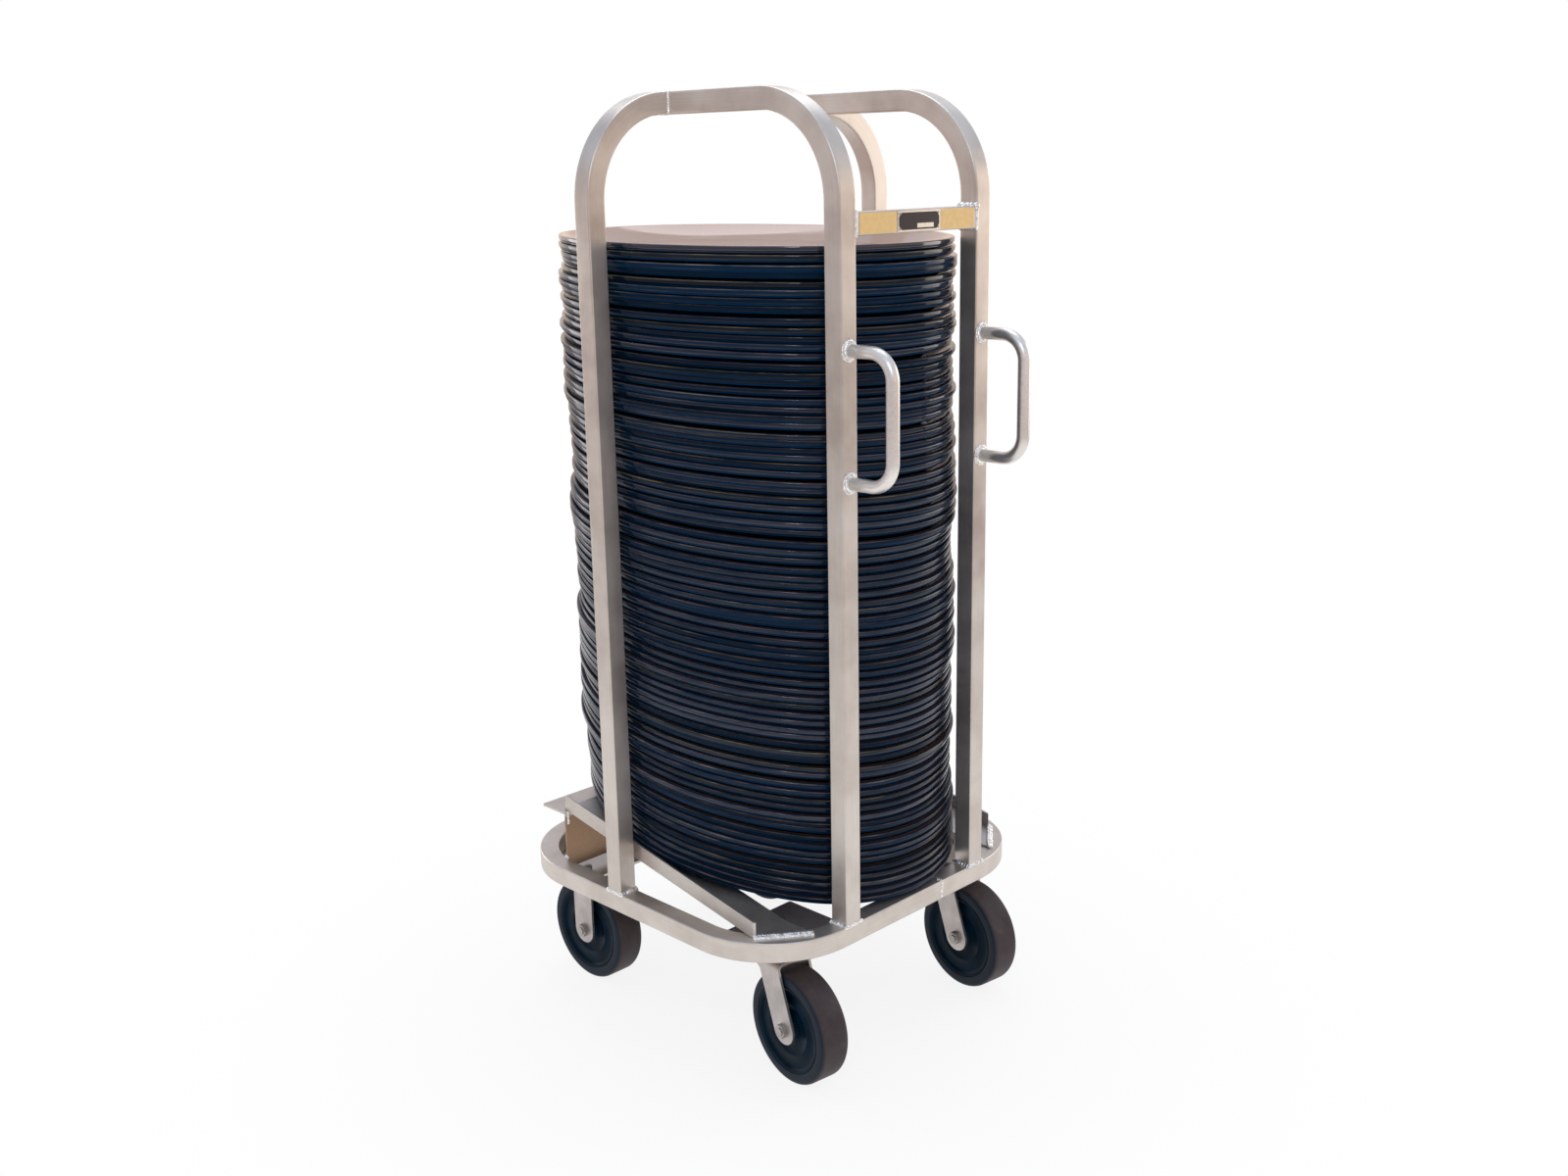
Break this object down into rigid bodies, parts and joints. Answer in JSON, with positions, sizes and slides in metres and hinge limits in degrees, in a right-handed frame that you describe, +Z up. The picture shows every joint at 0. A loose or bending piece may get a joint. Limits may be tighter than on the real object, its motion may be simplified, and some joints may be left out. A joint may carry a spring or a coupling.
{
  "type": "tray cart",
  "caption": "Square tube cart on casters, with hoops, rear posts and sloping rails that hold a nested stack of oval serving trays.",
  "frame": {"origin": "on the floor, below the middle of the base ring", "axes": "+X from the open loading end to the handle end, +Y across to the far side of the picture, +Z up"},
  "size_m": [0.7609, 0.644, 1.4684],
  "materials": {
    "frame": "satin, with bright weld beads",
    "plate": "satin",
    "plate_face": "semi-gloss dark enamel",
    "label": "satin tan film",
    "caster": "zinc plated",
    "fastener": "zinc plated",
    "tyre": "matte, slightly dusty tread",
    "wheel_core": "satin",
    "bush": "dull sintered bronze",
    "tray": "gloss moulded fibreglass"
  },
  "bodies": {
    "cart": {"base_ring": "frame", "corner_plate_fn": "frame", "corner_plate_ff": "frame", "corner_plate_rn": "frame", "corner_plate_rf": "frame", "hoop_near": "frame", "hoop_far": "frame", "rear_post_near": "frame", "rear_post_far": "frame", "crossbar": "frame", "handle_near": "frame", "handle_far": "frame", "rail_near": "frame", "rail_far": "frame", "cross_angle": "frame", "blank_plate": "plate", "plate_face": "plate_face", "plate_rivets": "fastener", "side_label_near": "label", "side_label_far": "label", "pad_fn": "caster", "pad_ff": "caster", "king_pin_fn": "fastener", "king_pin_ff": "fastener", "fork_rn": "caster", "fork_rf": "caster", "bolts_fn": "fastener", "bolts_ff": "fastener", "bolts_rn": "fastener", "bolts_rf": "fastener", "axle_rn": "fastener", "axle_rf": "fastener"},
    "swivel_fn": {"race_fn": "caster", "fork_fn": "caster", "axle_fn": "fastener"},
    "swivel_ff": {"race_ff": "caster", "fork_ff": "caster", "axle_ff": "fastener"},
    "wheel_fn": {"tyre_fn": "tyre", "core_fn": "wheel_core", "bush_fn": "bush"},
    "wheel_ff": {"tyre_ff": "tyre", "core_ff": "wheel_core", "bush_ff": "bush"},
    "wheel_rn": {"tyre_rn": "tyre", "core_rn": "wheel_core", "bush_rn": "bush"},
    "wheel_rf": {"tyre_rf": "tyre", "core_rf": "wheel_core", "bush_rf": "bush"},
    "stack": {"trays_1": "tray", "trays_2": "tray", "trays_3": "tray", "trays_4": "tray", "trays_5": "tray", "trays_6": "tray", "trays_7": "tray", "trays_8": "tray"},
    "top_tray": {"top_tray": "tray"}
  },
  "joints": [
    {"name": "swivel_fn", "type": "hinge", "parent": "cart", "child": "swivel_fn", "pos_m": [0.2213, -0.208, 0.1875], "axis": [0, 0, 1], "continuous": true},
    {"name": "spin_fn", "type": "hinge", "parent": "swivel_fn", "child": "wheel_fn", "pos_m": [0.27192, -0.21421, 0.0889], "axis": [0.1219, 0.9925, 0], "continuous": true},
    {"name": "swivel_ff", "type": "hinge", "parent": "cart", "child": "swivel_ff", "pos_m": [0.2213, 0.208, 0.1875], "axis": [0, 0, 1], "continuous": true},
    {"name": "spin_ff", "type": "hinge", "parent": "swivel_ff", "child": "wheel_ff", "pos_m": [0.27192, 0.20178, 0.0889], "axis": [0.1219, 0.9925, 0], "continuous": true},
    {"name": "spin_rn", "type": "hinge", "parent": "cart", "child": "wheel_rn", "pos_m": [-0.2213, -0.208, 0.0889], "axis": [0, 1, 0], "continuous": true},
    {"name": "spin_rf", "type": "hinge", "parent": "cart", "child": "wheel_rf", "pos_m": [-0.2213, 0.208, 0.0889], "axis": [0, 1, 0], "continuous": true},
    {"name": "stack_slide", "type": "slide", "parent": "cart", "child": "stack", "axis": [-0.9829, 0, 0.184], "range_m": [0, 0.7]},
    {"name": "top_tray_tip", "type": "hinge", "parent": "stack", "child": "top_tray", "pos_m": [0.32815, 0, 1.24724], "axis": [0, 1, 0], "range_deg": [0, 12]}
  ]
}
